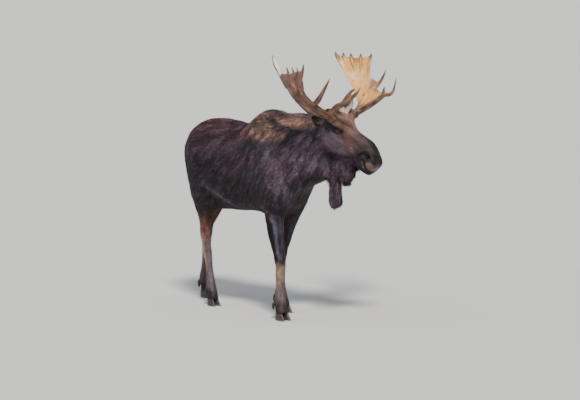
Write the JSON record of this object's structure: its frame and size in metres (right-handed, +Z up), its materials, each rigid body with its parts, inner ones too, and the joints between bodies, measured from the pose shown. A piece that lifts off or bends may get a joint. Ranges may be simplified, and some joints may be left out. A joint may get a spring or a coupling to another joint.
{
  "type": "bull moose",
  "caption": "Life-size still model of a standing bull moose with palmate antlers and a long bell, head turned a little to its left; it rests on its four hooves.",
  "frame": {"origin": "middle of the bottom of the whole animal's box, on the ground between the hooves", "axes": "+X the way the trunk points, +Y the animal's left, +Z up"},
  "size_m": [2.3916, 1.0908, 2.3238],
  "materials": {
    "coat": "dense short fur, near-black brown, longer and grizzled on the hump",
    "antler": "dry grooved bone, red-brown outside, cream inside the palms, ivory tips",
    "hoof": "dull black-brown horn",
    "eye": "wet glossy dark brown"
  },
  "bodies": {
    "root": {"trunk": "coat", "neck": "coat", "head": "coat", "bell_rope": "coat", "bell_lobe": "coat", "tail": "coat", "ear_right": "coat", "ear_left": "coat", "eye_right": "eye", "eye_left": "eye", "antler_right_beam": "antler", "antler_right_palm": "antler", "antler_right_brow": "antler", "antler_left_beam": "antler", "antler_left_palm": "antler", "antler_left_brow": "antler", "leg_fore_right_upper": "coat", "leg_fore_right_lower": "coat", "leg_fore_left_upper": "coat", "leg_fore_left_lower": "coat", "leg_hind_right_upper": "coat", "leg_hind_right_lower": "coat", "leg_hind_left_upper": "coat", "leg_hind_left_lower": "coat", "hoof_fore_right_inner": "hoof", "dewclaw_fore_right_inner": "hoof", "hoof_fore_right_outer": "hoof", "dewclaw_fore_right_outer": "hoof", "hoof_fore_left_inner": "hoof", "dewclaw_fore_left_inner": "hoof", "hoof_fore_left_outer": "hoof", "dewclaw_fore_left_outer": "hoof", "hoof_hind_right_inner": "hoof", "dewclaw_hind_right_inner": "hoof", "hoof_hind_right_outer": "hoof", "dewclaw_hind_right_outer": "hoof", "hoof_hind_left_inner": "hoof", "dewclaw_hind_left_inner": "hoof", "hoof_hind_left_outer": "hoof", "dewclaw_hind_left_outer": "hoof"}
  },
  "joints": []
}
